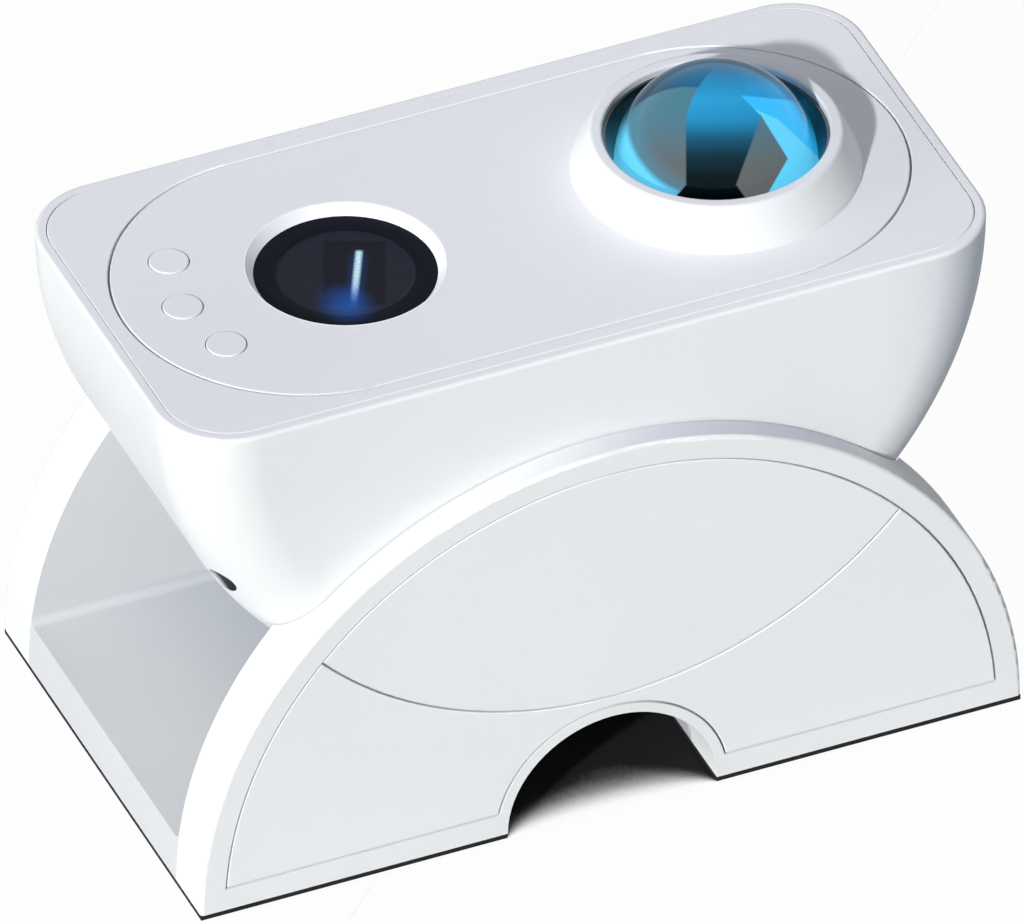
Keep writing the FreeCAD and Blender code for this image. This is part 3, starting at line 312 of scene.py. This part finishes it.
finishes = {
    "white_shell": mouldedPlastic("shellPlastic", plasticLook),
    "deck_white": mouldedPlastic("deckPlastic", deckLook),
    "grip_rubber": plain("gripRubber", (58, 59, 63), 0.78, grain=2200.0, relief=0.00004),
    "sole_rubber": plain("soleRubber", (24, 24, 27), 0.85, grain=1800.0, relief=0.00004),
    "inner_plastic": plain("innerPlastic", (92, 95, 100), 0.55),
    "gear_nylon": plain("gearNylon", (228, 226, 214), 0.4),
    "clear_film": plain("clearFilm", (205, 222, 232), 0.12, Transmission_Weight=0.85, IOR=1.5),
    "screw_steel": brushed("screwSteel", (186, 187, 192), 0.32),
    "motor_steel": brushed("motorSteel", (196, 197, 202), 0.3),
    "brass": brushed("turnedBrass", (206, 172, 96), 0.26),
    "sink_aluminium": brushed("sinkAluminium", (206, 209, 214), 0.38, way=1),
    "reflector_chrome": brushed("reflectorChrome", (226, 228, 232), 0.1),
    "board_green": circuitBoard("boardGreen"),
    "board_white": plain("boardWhite", (236, 236, 230), 0.4),
    "black_plastic": plain("blackPlastic", (30, 30, 33), 0.5),
    "header_cream": plain("headerCream", (226, 216, 186), 0.5),
    "capacitor_skin": plain("capacitorSkin", (34, 42, 86), 0.3, Coat_Weight=0.4),
    "led_face": plain("ledFace", (242, 226, 130), 0.35),
    "dark_ring": brushed("darkRing", (112, 108, 108), 0.3),
    "smoked_window": plain("windowDark", (27, 30, 40), 0.1, Coat_Weight=1.0),
    "blue_dome": plain("domeBlue", (39, 140, 200), 0.06, Coat_Weight=1.0),
}
for subpart in frame["record"]["subparts"]:
    finish = finishes[subpart["material_slot"]]
    for holder in nodes[subpart["node"]].material_slots:
        holder.material = finish.made
special = {
    "cradle_frame": cradlePlasticPaintedShade("cradlePlasticPaintedShade"),
    "lower_shell": shellPlastic("bodyPlasticPaintedShade"),
    "dome_bezel": plasticWithToneOrPaintedShade("conePlastic", plasticLook, deckLook,
                                 lambda skin: skin.z.step(coneLook["low"], coneLook["high"])),
    "laser_bezel": mouldedPlastic("bezelPlasticPaintedGlow", deckLook),
}
# painted light: the white bezel glows faintly, which brightens its shaded side
bezelShader = special["laser_bezel"].shader
bezelShader.inputs["Emission Color"].default_value = bezelGlowLook["glow"]
bezelShader.inputs["Emission Strength"].default_value = bezelGlowLook["strength"]
for node, finish in special.items():
    for holder in nodes[node].material_slots:
        holder.material = finish.made
print("finishes set:", len(finishes) + len(special))


# New pieces: surfaces turned from a profile
def softProfile(corners, steps=6):
    # corners are (radius, height, round) in mm; each corner is replaced by the curve
    # (1-t)^2 a + 2t(1-t) p + t^2 b between points that lie its round away along both sides
    corners = np.array(corners, float)
    spots, rounds = corners[:, :2], corners[:, 2]
    t = np.linspace(0.0, 1.0, steps)[:, None]
    line = [spots[:1]]
    for before, spot, after, soft in zip(spots[:-2], spots[1:-1], spots[2:], rounds[1:-1]):
        if soft <= 0:
            line.append(spot[None])
            continue
        a = spot + (before - spot) * soft / np.linalg.norm(before - spot)
        b = spot + (after - spot) * soft / np.linalg.norm(after - spot)
        line.append((1 - t) ** 2 * a + 2 * t * (1 - t) * spot + t ** 2 * b)
    line.append(spots[-1:])
    return np.vstack(line) * mm


def turnedPiece(name, line, centre, around, finish, node):
    # point (i, j) lies at radius line[i, 0] and height line[i, 1], at the angle 2 pi j / around;
    # the first and last points lie on the axis, so both poles are closed by one point each
    turn = np.arange(around) * 2 * np.pi / around
    radius, height = line[1:-1, :1], line[1:-1, 1:]
    rings = np.stack([radius * np.cos(turn), radius * np.sin(turn), height + 0 * turn], axis=-1)
    rings = rings.reshape(-1, 3)
    poles = np.array([[0, 0, line[0, 1]], [0, 0, line[-1, 1]]])
    points = np.vstack([rings, poles]) + np.array(centre)
    count = len(radius)
    i, j = np.arange(count - 1)[:, None] * around, np.arange(around)[None, :]
    k = (j + 1) % around
    quads = np.stack([i + j, i + k, i + around + k, i + around + j], axis=-1).reshape(-1, 4)
    j, k = j[0], k[0]
    last = (count - 1) * around
    first = np.stack([np.full(around, count * around), k, j], axis=-1)
    final = np.stack([np.full(around, count * around + 1), last + j, last + k], axis=-1)
    a, b, c = (points[quads[:, corner]] - centre for corner in range(3))
    volume = np.einsum("ij,ij->i", a, np.cross(b, c)).sum()
    faces = quads.tolist() + first.tolist() + final.tolist()
    if volume < 0:
        faces = [face[::-1] for face in faces]
    mesh = bpy.data.meshes.new(name)
    mesh.from_pydata(points.tolist(), [], faces)
    mesh.shade_smooth()
    mesh.set_sharp_from_angle(angle=math.radians(40))
    mesh.materials.append(finish.made)
    piece = bpy.data.objects.new(name, mesh)
    bpy.context.scene.collection.objects.link(piece)
    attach(piece, "projector")
    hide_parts(node)
    return piece


def middleOf(node):
    # the middle of a node's box in plan, and the height of the deck it stands in
    low, high = (np.array(corner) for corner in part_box(node))
    return np.array([(low[0] + high[0]) / 2, (low[1] + high[1]) / 2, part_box("top_deck")[1][2]])


# Laser window: a dark glass ring round a sunk disc, with the grating's light painted on it as a glowing beam
# and halo
windowLook = {"around": 160, "edge": 17.2, "disc": 12.4, "slope": 0.12, "top": -2.0, "sunk": 0.35,
              "foot": -3.6, "ring": (8, 13, 28), "glass": (35, 39, 51), "worn": (32, 36, 48),
              "square": (20, 22, 33), "squareAt": (1.6, 0.3), "squareHalf": (5.4, 9.2), "squareTurn": -23.2,
              "beamFrom": (4.85, 5.2), "beamTo": (-3.05, -10.4), "beamHalf": 0.62,
              "beam": (205, 240, 255), "beamEnd": (40, 120, 215),
              "glowAt": (-3.4, -8.2), "glowHalf": 6.2, "glow": (6, 66, 140), "lit": 16.6, "full": 14.0}


def windowGlassPaintedGlow(look, centre):
    skin = Finish("windowGlassPaintedGlow", Specular_IOR_Level=0.05, Emission_Strength=1.0)
    x, y = skin.x - float(centre[0]), skin.y - float(centre[1])
    away = (x * x + y * y).root()
    inside = away.step(look["disc"] * mm + 0.00015, look["disc"] * mm - 0.00015)

    # u runs along the square's turn and v across it
    a = math.radians(look["squareTurn"])
    u = x * math.cos(a) + y * math.sin(a) - look["squareAt"][0] * mm
    v = y * math.cos(a) - x * math.sin(a) - look["squareAt"][1] * mm
    wide, tall = (half * mm for half in look["squareHalf"])
    square = u.size().step(wide + 0.0003, wide) * v.size().step(tall + 0.0003, tall) * inside

    # along is 0 at the bright end of the beam and 1 at the faint one; off is the distance from its line
    start, end = np.array(look["beamFrom"]) * mm, np.array(look["beamTo"]) * mm
    length = float(np.linalg.norm(end - start))
    way = (end - start) / length
    along = ((x - float(start[0])) * float(way[0]) + (y - float(start[1])) * float(way[1])) / length
    off = ((x - float(start[0])) * float(-way[1]) + (y - float(start[1])) * float(way[0])).size()
    width = look["beamHalf"] * mm
    core = off.step(width * 1.5, width * 0.25) * along.step(-0.03, 0.03) * along.step(1.0, 0.55)
    speck = skin.noise(2600.0, detail=1.0).step(0.3, 0.7) * 0.25 + 0.75
    gx, gy = x - look["glowAt"][0] * mm, y - look["glowAt"][1] * mm
    halo = (gx * gx + gy * gy * 0.7).root().step(look["glowHalf"] * mm, 0.0)
    near = off.step(width * 4.0, 0.0) * along.step(-0.1, 0.2) * along.step(1.05, 0.7) * 0.35

    dust = skin.noise(700.0, detail=3.0)
    glass = skin.blend(dust.step(0.3, 0.7), tone(*look["glass"]), tone(*look["worn"]))
    body = skin.blend(inside, tone(*look["ring"]), glass)
    body = skin.blend(square * 0.8, body, tone(*look["square"]))
    # painted light: the halo round the grating and the beam glow through the emission
    glow = (halo * 0.95 + near).held() * away.step(look["lit"] * mm, look["full"] * mm)
    light = skin.blend(glow, (0.0, 0.0, 0.0), tone(*look["glow"]))
    beam = skin.blend(along.step(0.35, 0.95), tone(*look["beam"]), tone(*look["beamEnd"]))
    light = skin.blend((core * speck).held() * inside, light, beam)
    skin.feed(Base_Color=body, Emission_Color=light, Roughness=0.12 + dust * 0.06 + inside * 0.06)
    return skin.bump(dust, 0.000003)


windowPlace = middleOf("laser_window")
windowLine = softProfile([
    (0, windowLook["foot"], 0), (windowLook["edge"], windowLook["foot"], 0.2),
    (windowLook["edge"], windowLook["top"], 0.2),
    (windowLook["disc"] + windowLook["slope"], windowLook["top"], 0.1),
    (windowLook["disc"] - windowLook["slope"], windowLook["top"] - windowLook["sunk"], 0.1),
    (windowLook["disc"] * 0.5, windowLook["top"] - windowLook["sunk"] + 0.03, 0),
    (0, windowLook["top"] - windowLook["sunk"] + 0.04, 0)])
turnedPiece("laserWindowGlassPaintedGlow", windowLine, windowPlace, windowLook["around"],
            windowGlassPaintedGlow(windowLook, windowPlace), "laser_window")
print("laser window made")

# Dome: a coated glass shell with reflections painted on it as bands and petals of blue, which also glow
domeReflectionLook = {"around": 192, "steps": 56, "radius": 18.2, "wall": 2.0, "rise": 1.3, "flange": 1.9,
            "flangeTop": -0.5, "flangeThick": 1.5, "azimuth": -23.2, "elevation": 38.0, "soft": 0.012,
            "rough": 0.1, "lit": 0.76, "unlit": 0.68, "sheen": (0.25, 0.32, 0.36),
            "petal": (96, 100, 101), "petalTop": (72, 122, 140), "crescent": (104, 214, 255),
            "haze": (60, 150, 185), "bright": (52, 190, 255), "pale": (98, 212, 255),
            "upper": (22, 148, 208), "dark": (2, 62, 88), "teal": (8, 98, 140), "edge": (3, 48, 70),
            "band": [(0.0, (0, 6, 9)), (0.15, (3, 18, 24)), (0.3, (10, 46, 60)), (0.42, (20, 84, 112)),
                     (0.55, (33, 136, 186)), (0.7, (39, 154, 208)), (0.85, (24, 128, 180)),
                     (1.0, (8, 70, 100))],
            "bandLow": -0.38, "bandTall": 1.38}


def domeGlassPaintedReflection(look, centre):
    # u and v are the places of the painted reflections, in radii, on a plane square to the fixed axis they are
    # painted along
    skin = Finish("domeGlassPaintedReflection", Specular_IOR_Level=0.3, Specular_Tint=look["sheen"],
                  Emission_Strength=look["lit"])
    a, e = math.radians(look["azimuth"]), math.radians(look["elevation"])
    across = np.array([math.cos(a), math.sin(a), 0.0])
    out = np.array([math.sin(a) * math.cos(e), -math.cos(a) * math.cos(e), math.sin(e)])
    up = np.cross(out, across)
    middle = centre + np.array([0.0, 0.0, look["rise"] * mm])
    size = look["radius"] * mm
    tones = {name: tone(*value) for name, value in look.items() if isinstance(value, tuple) and max(value) > 1}

    def along(way):
        way = [float(c) / size for c in way]
        return skin.x * way[0] + skin.y * way[1] + skin.z * way[2] - float(np.dot(way, middle))

    def over(height):
        # 1 where height is above 0, with the facets' soft edge
        return height.step(-look["soft"], look["soft"])

    def ringFrom(x, y):
        # distance from the point (x, y) of the plane
        cu, cv = u - x, v - y
        return (cu * cu + cv * cv).root()

    u, v = along(across), along(up)

    # the band's left edge bends out above v 0.3 and below v -0.256; the right edge has three corners
    left = -0.30 + (v - 0.30).most(0.0) ** 2.0 * 0.78 - (-0.256 - v).most(0.0) * 0.9
    right = (0.19 + (v + 0.256) * 0.373).least(0.44 - (v - 0.415) * 0.96)
    right = right.most(0.24 + (v - 0.623) * 0.588).most(0.19 - (v + 0.256) * 0.72)
    band = skin.node("ValToRGB", stops=[(where, tone(*colour)) for where, colour in look["band"]],
                     Fac=((v - look["bandLow"]) / look["bandTall"]).held())
    petal = skin.blend(v.step(-0.2, 0.55), tones["petal"], tones["petalTop"])

    # right side: painted reflection of a grey petal inside a blunt arrow, bright facets beyond it
    tip = (0.70 - v * 0.62).least(0.70 + v * 0.58)
    beyond = over(u - tip).most(over(v - 0.43))
    facet = skin.blend(over(v + u * 0.1 - 0.645), tones["bright"], tones["upper"])
    facet = skin.blend(over(0.64 - v - u * 0.42 - (u - 0.6).most(0.0) * 0.5), facet, tones["pale"])
    facet = skin.blend((v - 0.62).step(0.05, 0.34), facet, tones["dark"])
    rightSide = skin.blend(beyond, petal, facet)

    # left side: painted reflection of a petal where two discs meet, a crescent below and a dark patch above
    above = over(ringFrom(-0.27, -0.10) - 0.81) * v.step(0.42, 0.56)
    far = ringFrom(-0.05, 0.45)
    leftSide = skin.blend(far.step(0.60, 0.86) * 0.45, petal, tones["haze"])
    leftSide = skin.blend(far.step(0.80, 0.885), leftSide, tones["crescent"])
    leftSide = skin.blend(above, leftSide, tones["dark"])
    leftSide = skin.blend(above * (u + 0.75).step(0.0, 0.6), leftSide, tones["teal"])

    colour = skin.blend(over(left - u), band, leftSide)
    colour = skin.blend(over(u - right), colour, rightSide)
    # the painted reflections turn dark teal along the dome's edge, most towards the top
    brim = ringFrom(0.0, 0.0).step(0.9, 1.0) * 0.9 * (v.step(-0.1, 0.5) * 0.8 + 0.2)
    colour = skin.blend(brim, colour, tones["edge"])
    fine = skin.noise(240.0, detail=2.0)
    # the painted reflections also glow: the base colour keeps a third of them and the emission carries them in
    # full
    skin.feed(Base_Color=skin.blend(look["unlit"], colour, (0.0, 0.0, 0.0)), Emission_Color=colour,
              Roughness=look["rough"] + fine * 0.03)
    return skin.bump(fine, 0.0000015)


def domeLine(look):
    # outer quarter circle from the pole, skirt, flange, then the inner quarter circle back to the axis
    turn = np.linspace(0.0, np.pi / 2, look["steps"])[:, None]
    inner = look["radius"] - look["wall"]
    outside = np.hstack([np.sin(turn) * look["radius"], np.cos(turn) * look["radius"] + look["rise"]])
    inside = np.hstack([np.sin(turn) * inner, np.cos(turn) * inner + look["rise"]])[::-1]
    low = look["flangeTop"] - look["flangeThick"]
    brim = look["radius"] + look["flange"]
    foot = softProfile([(look["radius"], look["rise"] - 0.1, 0), (look["radius"], look["flangeTop"], 0.2),
                        (brim, look["flangeTop"], 0.2), (brim, low, 0.2), (inner, low, 0.2),
                        (inner, look["rise"] - 0.1, 0)]) / mm
    line = np.vstack([outside, foot, inside])
    line[[0, -1], 0] = 0.0
    return line * mm


domePlace = middleOf("dome_lens")
turnedPiece("domeGlassShellPaintedReflection", domeLine(domeReflectionLook), domePlace, domeReflectionLook["around"],
            domeGlassPaintedReflection(domeReflectionLook, domePlace), "dome_lens")
print("dome made")

# Camera, floor and light
cameraLook = {"azimuth": -23.21, "elevation": 37.95, "roll": -0.2, "wide": 0.18346, "lens": 1400.0,
              "sensor": 36.0, "target": (0.0, 0.0, 0.048), "right": 0.00012, "up": -0.0009}


def photoCamera(look):
    # the photograph's lines along x stay parallel, so the lens is very long and the camera stands back
    # along the line of sight until the frame is wide metres across at the target
    a, e, r = (math.radians(look[k]) for k in ("azimuth", "elevation", "roll"))
    back = Vector((math.sin(a) * math.cos(e), -math.cos(a) * math.cos(e), math.sin(e)))
    level = Vector((math.cos(a), math.sin(a), 0.0))
    above = back.cross(level)
    right = math.cos(r) * level + math.sin(r) * above
    up = math.cos(r) * above - math.sin(r) * level
    lens = bpy.data.cameras.new("photoLens")
    lens.lens, lens.sensor_width = look["lens"], look["sensor"]
    camera = bpy.data.objects.new("photoCamera", lens)
    bpy.context.scene.collection.objects.link(camera)
    away = look["wide"] * look["lens"] / look["sensor"]
    spot = Vector(look["target"]) + right * look["right"] + up * look["up"] + back * away
    turn = Matrix((right, up, back)).transposed().to_4x4()
    camera.matrix_world = Matrix.Translation(spot) @ turn
    lens.clip_start, lens.clip_end = away * 0.5, away * 2.0
    bpy.context.scene.camera = camera
    return camera


photoCamera(cameraLook)

lightLook = {"key": 2.95, "keyTone": (1.0, 0.975, 0.945), "keyFrom": (-0.655, -0.575, 0.49),
             "keySpread": 2.5, "side": 1.05, "sideFrom": (-1.0, 0.05, 0.15), "sideSpread": 50.0,
             "world": 0.335, "sky": (0.87, 0.92, 1.0), "paper": (0.58, 0.58, 0.59)}


def sunLamp(name, strength, come, spread, tint=(1.0, 1.0, 1.0)):
    lamp = bpy.data.lights.new(name, "SUN")
    lamp.energy = strength
    lamp.angle = math.radians(spread)
    lamp.color = tint
    holder = bpy.data.objects.new(name, lamp)
    holder.rotation_mode = "QUATERNION"
    holder.rotation_quaternion = Vector(come).to_track_quat("Z", "Y")
    holder.visible_glossy = False    # the sheen comes from the white room
    bpy.context.scene.collection.objects.link(holder)
    return holder


sunLamp("keyLamp", lightLook["key"], lightLook["keyFrom"], lightLook["keySpread"], lightLook["keyTone"])
sunLamp("sideLamp", lightLook["side"], lightLook["sideFrom"], lightLook["sideSpread"])


def studioWorld(strength, sky):
    # rays that show the background straight or by reflection see white, all others the soft light
    world = bpy.data.worlds.new("studio")
    bpy.context.scene.world = world
    world.use_nodes = True
    tree = world.node_tree
    path = tree.nodes.new("ShaderNodeLightPath")
    seen = Wire(tree, path.outputs["Is Camera Ray"]).most(Wire(tree, path.outputs["Is Transmission Ray"]))
    seen = seen.most(Wire(tree, path.outputs["Is Glossy Ray"]))
    light = tree.nodes["Background"]
    light.inputs["Color"].default_value = (*sky, 1.0)
    light.inputs["Strength"].default_value = strength
    paper = tree.nodes.new("ShaderNodeBackground")
    mix = tree.nodes.new("ShaderNodeMixShader")
    tree.links.new(seen.socket, mix.inputs[0])
    tree.links.new(light.outputs[0], mix.inputs[1])
    tree.links.new(paper.outputs[0], mix.inputs[2])
    paper.inputs["Color"].default_value = (1.0, 1.0, 1.0, 1.0)
    tree.links.new(mix.outputs[0], tree.nodes["World Output"].inputs["Surface"])


studioWorld(lightLook["world"], lightLook["sky"])


floorLook = {"half": 40.0, "reach": 0.045, "shut": 0.285, "open": 0.475, "shown": 0.97, "rough": 0.9}


def studioFloor(look):
    # white to the camera, darkened where the object shuts out the light close above it
    half = look["half"]
    corners = [(-half, -half, 0.0), (half, -half, 0.0), (half, half, 0.0), (-half, half, 0.0)]
    mesh = bpy.data.meshes.new("studioFloor")
    mesh.from_pydata(corners, [], [(0, 1, 2, 3)])
    floor = bpy.data.objects.new("studioFloor", mesh)
    bpy.context.scene.collection.objects.link(floor)
    skin = Finish("floorPaper", Base_Color=lightLook["paper"], Roughness=look["rough"],
                  Specular_IOR_Level=0.1)
    tree = skin.tree
    path = tree.nodes.new("ShaderNodeLightPath")
    near = skin.node("AmbientOcclusion", out=1, settings={"samples": 32}, Distance=look["reach"])
    free = near.step(look["shut"], look["open"])
    glow = tree.nodes.new("ShaderNodeEmission")
    glow.inputs["Color"].default_value = (1.0, 1.0, 1.0, 1.0)
    tree.links.new(free.socket, glow.inputs["Strength"])
    mix = tree.nodes.new("ShaderNodeMixShader")
    seen = Wire(tree, path.outputs["Is Camera Ray"]) * look["shown"]
    tree.links.new(seen.socket, mix.inputs[0])
    tree.links.new(skin.shader.outputs[0], mix.inputs[1])
    tree.links.new(glow.outputs[0], mix.inputs[2])
    tree.links.new(mix.outputs[0], skin.end.inputs["Surface"])
    mesh.materials.append(skin.made)


studioFloor(floorLook)
bpy.context.scene.view_settings.view_transform = "Standard"
print("camera, floor and light set")
